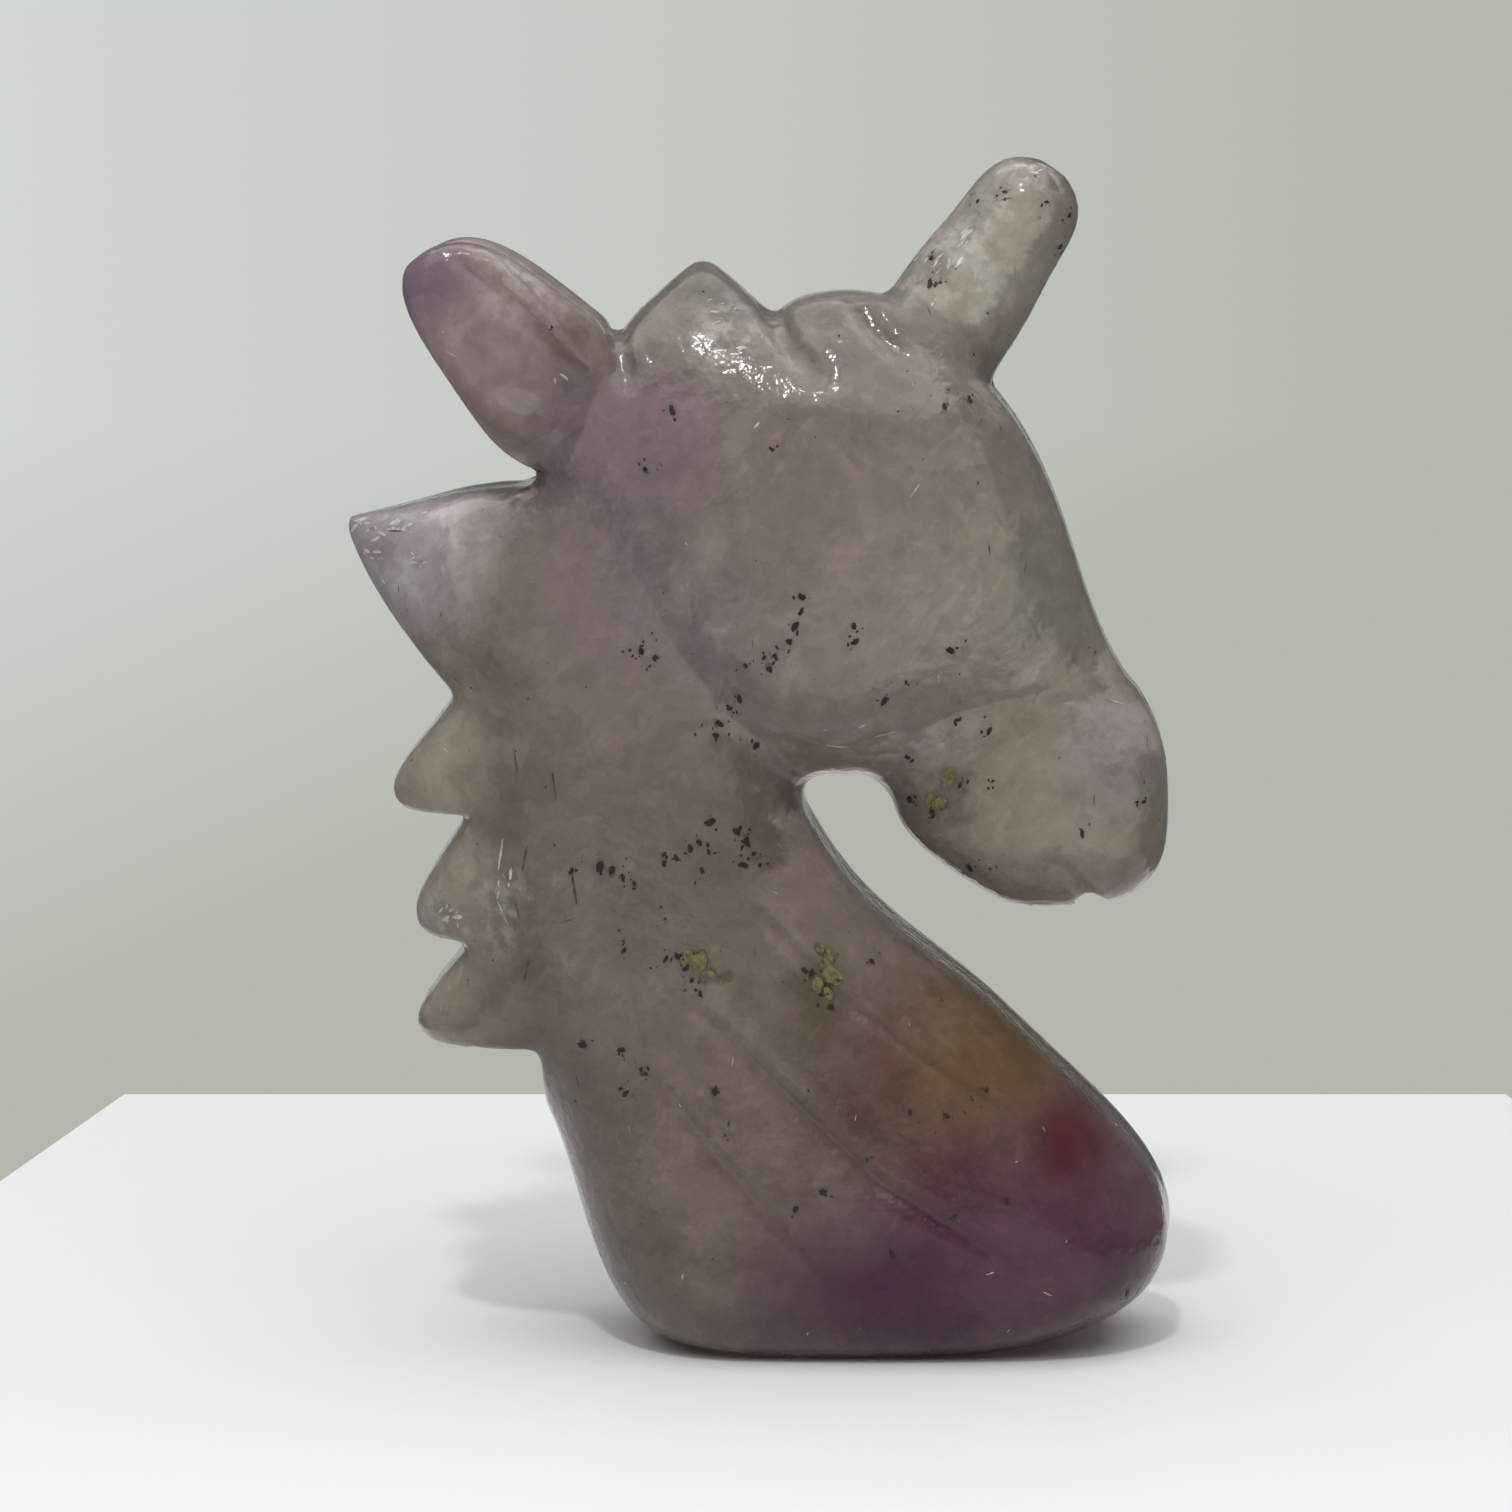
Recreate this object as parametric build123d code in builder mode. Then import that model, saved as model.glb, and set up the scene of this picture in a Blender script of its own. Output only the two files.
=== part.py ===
"""A unicorn's head and neck, carved from one block of polished quartz.

The carver's masses are separate solids that meet face to face: the neck that the figurine stands on,
the head with its muzzle, horn, ears and forelock, and the four locks of the mane.
+X points to the muzzle, +Z points up, and the origin is the middle of the face it rests on.
"""

import os
from math import cos, degrees, pi, radians, sin, tan

from build123d import *

# Neck and base, from the resting face up to the poll behind the ears
BUST_HEIGHT = 65.4
CHEST_LENGTH = 44.0
BUST_THICKNESS = 25.0

# Head, from the poll to the groove above the muzzle
HEAD_LENGTH = 36.0
HEAD_DEPTH = 32.0
HEAD_THICKNESS = 22.6
HEAD_TILT = -36.0

# Muzzle, from that groove to the lips, with the notch of the mouth
MUZZLE_LENGTH = 13.2
MUZZLE_DEPTH = 20.4
MUZZLE_THICKNESS = 18.0
MOUTH_WIDTH = 1.8
MOUTH_DEPTH = 1.3

# Horn, a plain blunt peg whose root spreads sideways into the brow
HORN_LENGTH = 16.0
HORN_DEPTH = 10.3
HORN_ROOT_THICKNESS = 13.4
HORN_TILT = 92.0

# Ears, one each side of the mid-plane, scooped out on the outside
EAR_LENGTH = 17.2
EAR_WIDTH = 11.0
EAR_THICKNESS = 6.8
EAR_SPACING = 10.4
EAR_SPLAY = 4.0
EAR_SCOOP_LENGTH = 21.0
EAR_SCOOP_DIAMETER = 11.4
EAR_SCOOP_DEPTH = 0.9
EAR_SCOOP_TILT = 20.0

# Forelock: a pointed tuft at the poll and a low round one at the brow
POLL_TUFT_HEIGHT = 4.3
POLL_TUFT_LENGTH = 10.8
POLL_TUFT_THICKNESS = 16.0
BROW_TUFT_HEIGHT = 2.1
BROW_TUFT_LENGTH = 11.0
BROW_TUFT_THICKNESS = 17.0
TUFT_TILT = 126.0

# Mane: four locks, one below another, on a flat strip down the back of the neck
MANE_TOP_DROP = 0.1
MANE_FOOT_CUT = 1.9
MANE_HEAD_CUT = 5.3
TOP_LOCK_LENGTH = 12.9
TOP_LOCK_DEPTH = 15.4
TOP_LOCK_THICKNESS = 16.4
UPPER_LOCK_LENGTH = 10.4
UPPER_LOCK_DEPTH = 8.7
UPPER_LOCK_THICKNESS = 18.6
MIDDLE_LOCK_LENGTH = 9.2
MIDDLE_LOCK_DEPTH = 9.6
MIDDLE_LOCK_THICKNESS = 19.0
LOWER_LOCK_LENGTH = 9.5
LOWER_LOCK_DEPTH = 8.0
LOWER_LOCK_THICKNESS = 18.6

# A rib is a rounded section: a share of a half makes it an ellipse, and less flattens its sides
RIB_POINTS = 16
RIB_ROUNDNESS_SHARE = 0.31
HORN_ROUNDNESS_SHARE = 0.5

# Neck ribs: height, then back and front edge as shares of the chest's length, then thickness.
# The mane's strip is cut along the back edge between the two ribs that have names.
STRIP_FOOT_RIB_SHARES = (0.34, -0.568, 0.345, 0.93)
STRIP_HEAD_RIB_SHARES = (0.87, -0.68, -0.25, 0.70)
NECK_RIB_SHARES = (
    (-0.024, -0.186, 0.204, 0.44),
    (0.012, -0.326, 0.359, 0.72),
    (0.06, -0.40, 0.50, 0.90),
    (0.14, -0.45, 0.555, 1.00),
    (0.245, -0.497, 0.485, 0.98),
    STRIP_FOOT_RIB_SHARES,
    (0.425, -0.65, 0.21, 0.89),
    (0.53, -0.68, 0.025, 0.86),
    (0.64, -0.69, -0.086, 0.84),
    (0.74, -0.69, -0.17, 0.79),
    STRIP_HEAD_RIB_SHARES,
    (1.00, -0.53, -0.31, 0.52),
)

# Ribs of the other masses: the lower and the upper edge, each along and across, then thickness
HEAD_RIB_SHARES = (
    (-0.04, -0.135, -0.15, 0.305, 0.75),
    (0.12, -0.215, 0.05, 0.47, 0.88),
    (0.39, -0.295, 0.27, 0.685, 1.00),
    (0.61, -0.30, 0.56, 0.705, 1.00),
    (0.76, -0.222, 0.84, 0.545, 0.84),
    (0.85, -0.165, 1.14, 0.345, 0.64),
)
MUZZLE_RIB_SHARES = (
    (0.00, -0.485, 0.00, 0.485, 0.86),
    (0.06, -0.495, 0.12, 0.497, 0.92),
    (0.27, -0.503, 0.50, 0.483, 1.00),
    (0.52, -0.43, 0.80, 0.412, 0.96),
    (0.78, -0.313, 1.02, 0.313, 0.80),
    (0.90, -0.24, 1.10, 0.20, 0.60),
    (0.96, -0.15, 1.11, 0.11, 0.34),
)
EAR_RIB_SHARES = (
    (0.00, -0.50, 0.00, 0.50, 1.00),
    (0.45, -0.34, 0.31, 0.665, 1.00),
    (0.74, -0.01, 0.60, 0.77, 0.88),
    (0.93, 0.30, 0.824, 0.713, 0.62),
    (0.955, 0.47, 0.905, 0.60, 0.30),
)
HORN_RIB_SHARES = (
    (-0.30, -0.50, -0.30, 0.50, 1.00),
    (0.00, -0.50, 0.00, 0.50, 0.94),
    (0.22, -0.475, 0.22, 0.475, 0.79),
    (0.48, -0.44, 0.48, 0.44, 0.67),
    (0.745, -0.404, 0.745, 0.404, 0.60),
    (0.872, -0.35, 0.872, 0.35, 0.52),
    (0.954, -0.232, 0.954, 0.232, 0.34),
    (0.992, -0.10, 0.992, 0.10, 0.15),
)
POLL_TUFT_RIB_SHARES = (
    (-1.25, -0.50, -1.25, 0.50, 1.00),
    (0.00, -0.50, 0.00, 0.50, 0.90),
    (0.53, -0.28, 0.53, 0.28, 0.62),
    (0.90, -0.105, 0.90, 0.105, 0.34),
    (1.00, -0.03, 1.00, 0.03, 0.14),
)
BROW_TUFT_RIB_SHARES = (
    (-2.60, -0.50, -2.60, 0.50, 1.00),
    (0.00, -0.50, 0.00, 0.50, 0.90),
    (0.45, -0.42, 0.45, 0.42, 0.78),
    (0.85, -0.25, 0.85, 0.25, 0.52),
    (1.00, -0.08, 1.00, 0.08, 0.24),
)
TOP_LOCK_RIB_SHARES = (
    (0.00, -0.75, 0.00, 0.50, 1.00),
    (0.34, -0.58, 0.34, 0.474, 0.88),
    (0.65, -0.247, 0.55, 0.438, 0.66),
    (0.866, 0.05, 0.81, 0.396, 0.38),
    (0.99, 0.305, 0.985, 0.37, 0.13),
)
SMALL_LOCK_RIB_SHARES = (
    (0.00, -0.75, 0.00, 0.75, 1.00),
    (0.42, -0.75, 0.46, 0.53, 0.84),
    (0.71, -0.62, 0.775, 0.12, 0.60),
    (0.90, -0.50, 0.95, -0.15, 0.36),
    (0.985, -0.42, 1.00, -0.31, 0.16),
)

# Places along and across the head, up its back end, and along and across the ear and the muzzle
HORN_PLACE_SHARES = (0.387, 0.707)
POLL_TUFT_PLACE_SHARES = (-0.03, 0.442)
BROW_TUFT_PLACE_SHARES = (0.21, 0.639)
EAR_PLACE_SHARE = 0.605
EAR_SCOOP_PLACE_SHARES = (0.47, 0.15)
MOUTH_PLACE_SHARES = (1.02, 0.03)
MIDDLE_SHARE = 0.5


def tilted_plane(origin, tilt):
    """The mid-plane, with its first axis tilted up from +X."""
    return Plane(origin, x_dir=(cos(radians(tilt)), 0, sin(radians(tilt))), z_dir=(0, -1, 0))


def seam_plane(low, high, place_share, side):
    """The mid-plane on a flat seam: the second axis runs up the seam, and the first stands square on it."""
    seam = high - low
    return Plane(low + seam * place_share, x_dir=seam.cross(Vector(0, side, 0)), z_dir=(0, side, 0))


def rib(low, high, half_thickness, roundness):
    """One rounded section across the mid-plane, from its lower to its upper edge."""
    across = (high - low).normalized()
    half_depth = (high - low).length / 2
    points = []
    for step in range(RIB_POINTS):
        turn = 2 * pi * step / RIB_POINTS
        reach = (abs(cos(turn)) ** (1 / roundness) + abs(sin(turn)) ** (1 / roundness)) ** -roundness
        points.append((half_depth * reach * cos(turn), half_thickness * reach * sin(turn)))
    with BuildSketch(Plane((low + high) / 2, x_dir=across, z_dir=across.cross(Vector(0, 1, 0)))) as section:
        with BuildLine():
            Spline(*points, periodic=True)
        make_face()
    return section.sketch


def rib_edges(plane, row, length, depth):
    """The lower and the upper edge of one rib, from its row of shares."""
    low = plane.from_local_coords(Vector(row[0] * length, row[1] * depth, 0))
    high = plane.from_local_coords(Vector(row[2] * length, row[3] * depth, 0))
    return low, high


def ribs(plane, length, depth, thickness, shares, splay=0, roundness=RIB_ROUNDNESS_SHARE):
    """The ribs of one mass along its plane's first axis, leaning to one side by the splay."""
    sections = []
    for row in shares:
        low, high = rib_edges(plane, row, length, depth)
        lean = plane.z_dir * (tan(radians(splay)) * (row[0] + row[2]) / 2 * length)
        sections.append(rib(low + lean, high + lean, row[4] * thickness / 2, roundness))
    return sections


def neck_edges(row):
    """The back and the front edge of one neck rib, from its row of shares."""
    height = row[0] * BUST_HEIGHT
    return Vector(row[1] * CHEST_LENGTH, 0, height), Vector(row[2] * CHEST_LENGTH, 0, height)


def on_head(place_shares):
    """A point of the mid-plane, along and across the head."""
    return head_plane.from_local_coords(
        Vector(place_shares[0] * HEAD_LENGTH, place_shares[1] * HEAD_DEPTH, 0))


# Head, hung from the top of the neck
poll_back, poll_front = neck_edges(NECK_RIB_SHARES[-1])
head_plane = tilted_plane((poll_back + poll_front) / 2, HEAD_TILT)

with BuildPart() as head:
    loft(ribs(head_plane, HEAD_LENGTH, HEAD_DEPTH, HEAD_THICKNESS, HEAD_RIB_SHARES))

# Muzzle, on the flat front end of the head
groove_low, groove_high = rib_edges(head_plane, HEAD_RIB_SHARES[-1], HEAD_LENGTH, HEAD_DEPTH)
muzzle_plane = seam_plane(groove_low, groove_high, MIDDLE_SHARE, -1)
mouth_along = MOUTH_PLACE_SHARES[0] * MUZZLE_LENGTH
mouth_across = MOUTH_PLACE_SHARES[1] * MUZZLE_DEPTH

with BuildPart() as muzzle:
    loft(ribs(muzzle_plane, MUZZLE_LENGTH, MUZZLE_DEPTH, MUZZLE_THICKNESS, MUZZLE_RIB_SHARES))
    with BuildSketch(muzzle_plane):
        with BuildLine():
            Polyline(
                (mouth_along + MOUTH_DEPTH, mouth_across - MOUTH_WIDTH),
                (mouth_along - MOUTH_DEPTH, mouth_across),
                (mouth_along + MOUTH_DEPTH, mouth_across + MOUTH_WIDTH),
                close=True,
            )
        make_face()
    extrude(amount=MUZZLE_THICKNESS, both=True, mode=Mode.SUBTRACT)

# Neck and base, ground flat underneath and behind, and hollowed where the head sits
strip_low = neck_edges(STRIP_FOOT_RIB_SHARES)[0] + Vector(MANE_FOOT_CUT, 0, 0)
strip_high = neck_edges(STRIP_HEAD_RIB_SHARES)[0] + Vector(MANE_HEAD_CUT, 0, 0)
strip_up = (strip_high - strip_low).normalized()

with BuildPart() as neck:
    loft([rib(*neck_edges(row), row[3] * BUST_THICKNESS / 2, RIB_ROUNDNESS_SHARE) for row in NECK_RIB_SHARES])
    split(bisect_by=Plane.XY, keep=Keep.TOP)
    split(bisect_by=Plane(strip_low, z_dir=strip_up.cross(Vector(0, 1, 0))), keep=Keep.BOTTOM)
    add(head.part, mode=Mode.SUBTRACT)

# Horn
horn_plane = tilted_plane(on_head(HORN_PLACE_SHARES), HEAD_TILT + HORN_TILT)

with BuildPart() as horn:
    loft(
        ribs(horn_plane, HORN_LENGTH, HORN_DEPTH, HORN_ROOT_THICKNESS, HORN_RIB_SHARES,
             roundness=HORN_ROUNDNESS_SHARE))
    add(head.part, mode=Mode.SUBTRACT)

# Ears, on the flat back end of the head
back_low, back_high = rib_edges(head_plane, HEAD_RIB_SHARES[0], HEAD_LENGTH, HEAD_DEPTH)
ear_plane = seam_plane(back_low, back_high, EAR_PLACE_SHARE, 1).offset(-EAR_SPACING / 2)
scoop_along = EAR_SCOOP_PLACE_SHARES[0] * EAR_LENGTH
scoop_across = EAR_SCOOP_PLACE_SHARES[1] * EAR_WIDTH
scoop_out = EAR_THICKNESS / 2 + EAR_SCOOP_DIAMETER / 2 - EAR_SCOOP_DEPTH
scoop_middle = ear_plane.from_local_coords(
    Vector(scoop_along, scoop_across, -scoop_out - tan(radians(EAR_SPLAY)) * scoop_along))
scoop_plane = Plane(scoop_middle, x_dir=ear_plane.x_dir, z_dir=ear_plane.z_dir)
scoop_plane = scoop_plane.rotated((0, 0, EAR_SCOOP_TILT))

with BuildPart() as right_ear:
    loft(ribs(ear_plane, EAR_LENGTH, EAR_WIDTH, EAR_THICKNESS, EAR_RIB_SHARES, -EAR_SPLAY))
    with BuildSketch(scoop_plane):
        with BuildLine():
            EllipticalCenterArc((0, 0), EAR_SCOOP_LENGTH / 2, EAR_SCOOP_DIAMETER / 2, arc_size=degrees(pi))
            Line((-EAR_SCOOP_LENGTH / 2, 0), (EAR_SCOOP_LENGTH / 2, 0))
        make_face()
    revolve(axis=Axis(scoop_plane.origin, scoop_plane.x_dir), mode=Mode.SUBTRACT)

with BuildPart() as left_ear:
    mirror(right_ear.part, about=Plane.XZ)

# Forelock
poll_tuft_plane = tilted_plane(on_head(POLL_TUFT_PLACE_SHARES), HEAD_TILT + TUFT_TILT)
brow_tuft_plane = tilted_plane(on_head(BROW_TUFT_PLACE_SHARES), HEAD_TILT + TUFT_TILT)

with BuildPart() as poll_tuft:
    loft(ribs(poll_tuft_plane, POLL_TUFT_HEIGHT, POLL_TUFT_LENGTH, POLL_TUFT_THICKNESS, POLL_TUFT_RIB_SHARES))
    add(head.part, mode=Mode.SUBTRACT)

with BuildPart() as brow_tuft:
    loft(ribs(brow_tuft_plane, BROW_TUFT_HEIGHT, BROW_TUFT_LENGTH, BROW_TUFT_THICKNESS, BROW_TUFT_RIB_SHARES))
    for neighbour in (head, horn, poll_tuft):
        add(neighbour.part, mode=Mode.SUBTRACT)

# Mane, stacked down the strip from the poll, each lock meeting the next on a flat face
locks = {
    "mane_lock_top": (TOP_LOCK_LENGTH, TOP_LOCK_DEPTH, TOP_LOCK_THICKNESS, TOP_LOCK_RIB_SHARES),
    "mane_lock_upper": (UPPER_LOCK_LENGTH, UPPER_LOCK_DEPTH, UPPER_LOCK_THICKNESS, SMALL_LOCK_RIB_SHARES),
    "mane_lock_middle": (MIDDLE_LOCK_LENGTH, MIDDLE_LOCK_DEPTH, MIDDLE_LOCK_THICKNESS, SMALL_LOCK_RIB_SHARES),
    "mane_lock_lower": (LOWER_LOCK_LENGTH, LOWER_LOCK_DEPTH, LOWER_LOCK_THICKNESS, SMALL_LOCK_RIB_SHARES),
}
lock_top = strip_low + strip_up * ((poll_back.Z - MANE_TOP_DROP - strip_low.Z) / strip_up.Z)
mane = {}
for name, (length, depth, thickness, shares) in locks.items():
    lock_foot = lock_top - strip_up * depth
    with BuildPart() as lock:
        loft(ribs(seam_plane(lock_foot, lock_top, MIDDLE_SHARE, 1), length, depth, thickness, shares))
        split(bisect_by=Plane(lock_foot, z_dir=strip_up), keep=Keep.TOP)
        if mane:
            split(bisect_by=Plane(lock_top, z_dir=strip_up), keep=Keep.BOTTOM)
    mane[name] = lock
    lock_top = lock_foot

# One file for each mass
masses = {
    "neck_and_base": neck,
    "head": head,
    "muzzle": muzzle,
    "horn": horn,
    "right_ear": right_ear,
    "left_ear": left_ear,
    "poll_tuft": poll_tuft,
    "brow_tuft": brow_tuft,
    **mane,
}
os.makedirs("parts", exist_ok=True)
for name, mass in masses.items():
    mass.part.label = name
    export_step(mass.part, f"parts/{name}.step")
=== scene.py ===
# %% [markdown]
# # A unicorn's head carved from cloudy amethyst
# The figurine is one polished stone, about nine centimetres tall, with no joint and nothing inside but its
# own inclusions. The CAD model holds the carver's masses as separate solids. Here they become one continuous
# skin again, with the cut lines, the colour zones and the flaws of the real stone.

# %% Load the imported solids
import math
import random

import bmesh
import bpy
import numpy as np
from mathutils import Matrix, Vector
from mathutils.bvhtree import BVHTree


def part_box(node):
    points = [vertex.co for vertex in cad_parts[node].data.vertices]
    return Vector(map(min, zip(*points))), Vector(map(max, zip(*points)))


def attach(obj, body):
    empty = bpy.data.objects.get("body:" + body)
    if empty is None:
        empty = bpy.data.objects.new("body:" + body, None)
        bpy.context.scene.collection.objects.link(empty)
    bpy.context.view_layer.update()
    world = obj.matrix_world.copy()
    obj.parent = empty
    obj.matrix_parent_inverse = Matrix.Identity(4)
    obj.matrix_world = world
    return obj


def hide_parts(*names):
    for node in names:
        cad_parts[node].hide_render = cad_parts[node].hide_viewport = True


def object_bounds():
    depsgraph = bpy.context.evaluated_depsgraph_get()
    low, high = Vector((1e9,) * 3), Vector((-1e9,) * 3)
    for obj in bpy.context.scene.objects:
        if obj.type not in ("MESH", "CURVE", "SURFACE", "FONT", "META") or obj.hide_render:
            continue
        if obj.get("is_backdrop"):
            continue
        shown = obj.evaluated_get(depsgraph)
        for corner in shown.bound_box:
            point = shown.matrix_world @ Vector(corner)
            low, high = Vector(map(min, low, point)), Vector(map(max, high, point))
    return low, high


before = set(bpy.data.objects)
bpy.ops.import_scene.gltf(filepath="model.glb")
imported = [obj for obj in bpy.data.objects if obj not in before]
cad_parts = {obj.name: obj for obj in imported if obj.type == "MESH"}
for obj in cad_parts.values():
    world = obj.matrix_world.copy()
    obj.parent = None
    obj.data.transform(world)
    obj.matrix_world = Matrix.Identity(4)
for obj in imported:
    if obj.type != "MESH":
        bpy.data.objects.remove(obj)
cad_low, cad_high = (np.array([float(v) for v in corner]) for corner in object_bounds())
MM = 0.001
print("solids:", len(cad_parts), "box in mm:", ((cad_high - cad_low) / MM).round(1))

# %% [markdown]
# ## The camera comes first
# Every cut line and every clear fleck is placed by the pixel where the photograph shows it, so the camera
# has to stand before them. It looks along +Y from slightly above. A long lens at a short distance gives the
# photograph's mild perspective.

# %% Camera
PHOTO_PIXELS = 1512
CAMERA_ELEVATION = math.radians(7.5)
CAMERA_DISTANCE = 380 * MM
CAMERA_TARGET = Vector((-7.09, 0, 44.6)) * MM
PIXEL_AT_TARGET = 0.0754 * MM
SENSOR_WIDTH = 36
camera_forward = Vector((0, math.cos(CAMERA_ELEVATION), -math.sin(CAMERA_ELEVATION)))
camera_up = Vector((0, math.sin(CAMERA_ELEVATION), math.cos(CAMERA_ELEVATION)))

camera_data = bpy.data.cameras.new("Photo_camera")
camera_data.sensor_width = SENSOR_WIDTH
camera_data.lens = SENSOR_WIDTH * CAMERA_DISTANCE / (PIXEL_AT_TARGET * PHOTO_PIXELS)
camera = bpy.data.objects.new("Photo_camera", camera_data)
camera.location = CAMERA_TARGET - camera_forward * CAMERA_DISTANCE
camera.rotation_euler = (math.pi / 2 - CAMERA_ELEVATION, 0, 0)
bpy.context.collection.objects.link(camera)
bpy.context.scene.camera = camera
bpy.context.scene.view_settings.view_transform = "Standard"
print("lens in mm:", round(camera_data.lens, 1))

# %% [markdown]
# ## One skin over all the solids
# On the real carving no seam shows between head, neck and mane. Boolean unions of curved solids that only
# touch are fragile, so each solid is swollen a little, and a voxel remesh wraps all of them in one closed
# skin. Smoothing then rounds the inner corners as a polishing wheel does, and the swelling is taken off
# again.

# %% Swollen solids
SEAM_SWELL = 0.2 * MM
MERGE_DISTANCE = MM / 1000


def add_swollen(shell, node):
    """Adds a copy of one solid, merged and swollen, to a mesh under construction."""
    copy = bmesh.new()
    copy.from_mesh(node.data)
    bmesh.ops.remove_doubles(copy, verts=copy.verts, dist=MERGE_DISTANCE)
    copy.normal_update()
    for vert, normal in [(vert, vert.normal.copy()) for vert in copy.verts]:
        vert.co += normal * SEAM_SWELL
    swollen = bpy.data.meshes.new("Swollen")
    copy.to_mesh(swollen)
    copy.free()
    shell.from_mesh(swollen)
    bpy.data.meshes.remove(swollen)


shell = bmesh.new()
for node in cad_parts.values():
    add_swollen(shell, node)
stone = bpy.data.objects.new("Carved_stone", bpy.data.meshes.new("Carved_stone"))
shell.to_mesh(stone.data)
shell.free()
bpy.context.collection.objects.link(stone)
print("points of the swollen solids:", len(stone.data.vertices))

# %% Stone skin
SKIN_VOXEL = 0.43 * MM
POLISH_ROUNDS = 3
POLISH_STRENGTH = 0.5

wrap = stone.modifiers.new("Wrap in one skin", "REMESH")
wrap.mode = "VOXEL"
wrap.voxel_size = SKIN_VOXEL
polish = stone.modifiers.new("Polish the corners", "SMOOTH")
polish.factor = POLISH_STRENGTH
polish.iterations = POLISH_ROUNDS
skin = bpy.data.meshes.new_from_object(stone.evaluated_get(bpy.context.evaluated_depsgraph_get()))
stone.modifiers.clear()
stone.data = skin


def skin_rows(kind):
    """The skin's points, or its outward directions at them, as rows of x, y and z."""
    rows = np.empty(len(skin.vertices) * 3)
    skin.vertices.foreach_get(kind, rows)
    return rows.reshape(-1, 3)


def skin_places():
    """The skin's points."""
    return skin_rows("co")


def skin_normals():
    """The skin's outward directions, one row for each point."""
    return skin_rows("normal")


def set_skin(places):
    """Moves the skin's points, which stay inside the CAD model's box."""
    skin.vertices.foreach_set("co", np.clip(places, cad_low, cad_high).ravel())
    skin.update()


set_skin(skin_places() - skin_normals() * SEAM_SWELL)
print("skin points:", len(skin.vertices), "faces:", len(skin.polygons))

# %% [markdown]
# ## Polish over the seams
# Where two solids meet, the skin still has a crease on the flank, and the photograph shows hardly any.
# Smoothing the whole skin would blunt the horn and the notches of the mane, so only points near two solids
# at once are smoothed, and only where the skin faces sideways. The outline stays as it was, but for the two
# corners of the throat, which the photograph shows round.

# %% Points near a seam
SEAM_REACH = 4.5 * MM
FLANK_FROM, FLANK_SPAN = 0.35, 0.4


def search_tree(mesh):
    """A tree that finds the nearest place on a mesh, or where a ray meets it."""
    return BVHTree.FromPolygons([v.co for v in mesh.vertices], [p.vertices for p in mesh.polygons])


def seam_weights():
    """For each point of the skin, from 0 to 1, how near it is to a seam on the flank."""
    places = skin_places()
    gaps = np.full((len(places), len(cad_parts)), SEAM_REACH)
    for column, (name, node) in enumerate(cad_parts.items()):
        low, high = (np.array(corner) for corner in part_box(name))
        tree = search_tree(node.data)
        inside = (places > low - SEAM_REACH) & (places < high + SEAM_REACH)
        for row in np.flatnonzero(np.all(inside, axis=1)):
            gap = tree.find_nearest(places[row], SEAM_REACH)[3]
            if gap is not None:
                gaps[row, column] = gap
    second_gap = np.sort(gaps, axis=1)[:, 1]
    sideways = np.clip((np.abs(skin_normals()[:, 1]) - FLANK_FROM) / FLANK_SPAN, 0, 1)
    return (1 - second_gap / SEAM_REACH) * sideways


weights = seam_weights()
print("points near a seam:", int((weights > 0).sum()))

# %% Seam polish
SMOOTH_STEP = 0.6
SEAM_ROUNDS = 160
SEAM_GAIN = 1.8
THROAT_CORNERS = (((-4.2, 43.3), 3.0), ((3.0, 43.2), 2.2))
THROAT_ROUNDS = 107
THROAT_GAIN = 1.5


def smooth_skin(weights, rounds):
    """Draws each point towards the middle of its neighbours, as far as its weight lets it."""
    edges = np.empty(len(skin.edges) * 2, dtype=np.int64)
    skin.edges.foreach_get("vertices", edges)
    a, b = edges.reshape(-1, 2).T
    count = len(skin.vertices)
    degree = np.bincount(a, minlength=count) + np.bincount(b, minlength=count)
    places = skin_places()
    for _ in range(rounds):
        for axis in range(3):
            line = places[:, axis]
            total = np.bincount(a, line[b], count) + np.bincount(b, line[a], count)
            places[:, axis] = line + (total / degree - line) * weights * SMOOTH_STEP
    set_skin(places)


smooth_skin(np.clip(weights * SEAM_GAIN, 0, 1), SEAM_ROUNDS)
for corner, reach in THROAT_CORNERS:
    far = np.linalg.norm(skin_places()[:, ::2] - np.array(corner) * MM, axis=1)
    smooth_skin(np.clip(THROAT_GAIN - THROAT_GAIN * far / (reach * MM), 0, 1), THROAT_ROUNDS)
print("rounds of smoothing:", SEAM_ROUNDS + THROAT_ROUNDS * len(THROAT_CORNERS))

# %% [markdown]
# ## A crowned front edge
# The front of the solid's neck is nearly flat from side to side, so from the side it would shine as a broad
# pale strip. The photograph shows only a thin line there, so the edge is taken to be crowned. The skin is
# drawn in, more and more from the mid-plane to the sides, and the outline stays.

# %% Crowned neck
CROWN_DEPTH = 1.3 * MM
CROWN_HALF_WIDTH = 9 * MM
CROWN_ON_NECK = 0.3 * MM
CROWN_FOOT, CROWN_TOP, CROWN_FADE = 5 * MM, 43 * MM, 5 * MM
FULLY_FORWARD = 0.5
LEAST_LENGTH = 0.1

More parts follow.
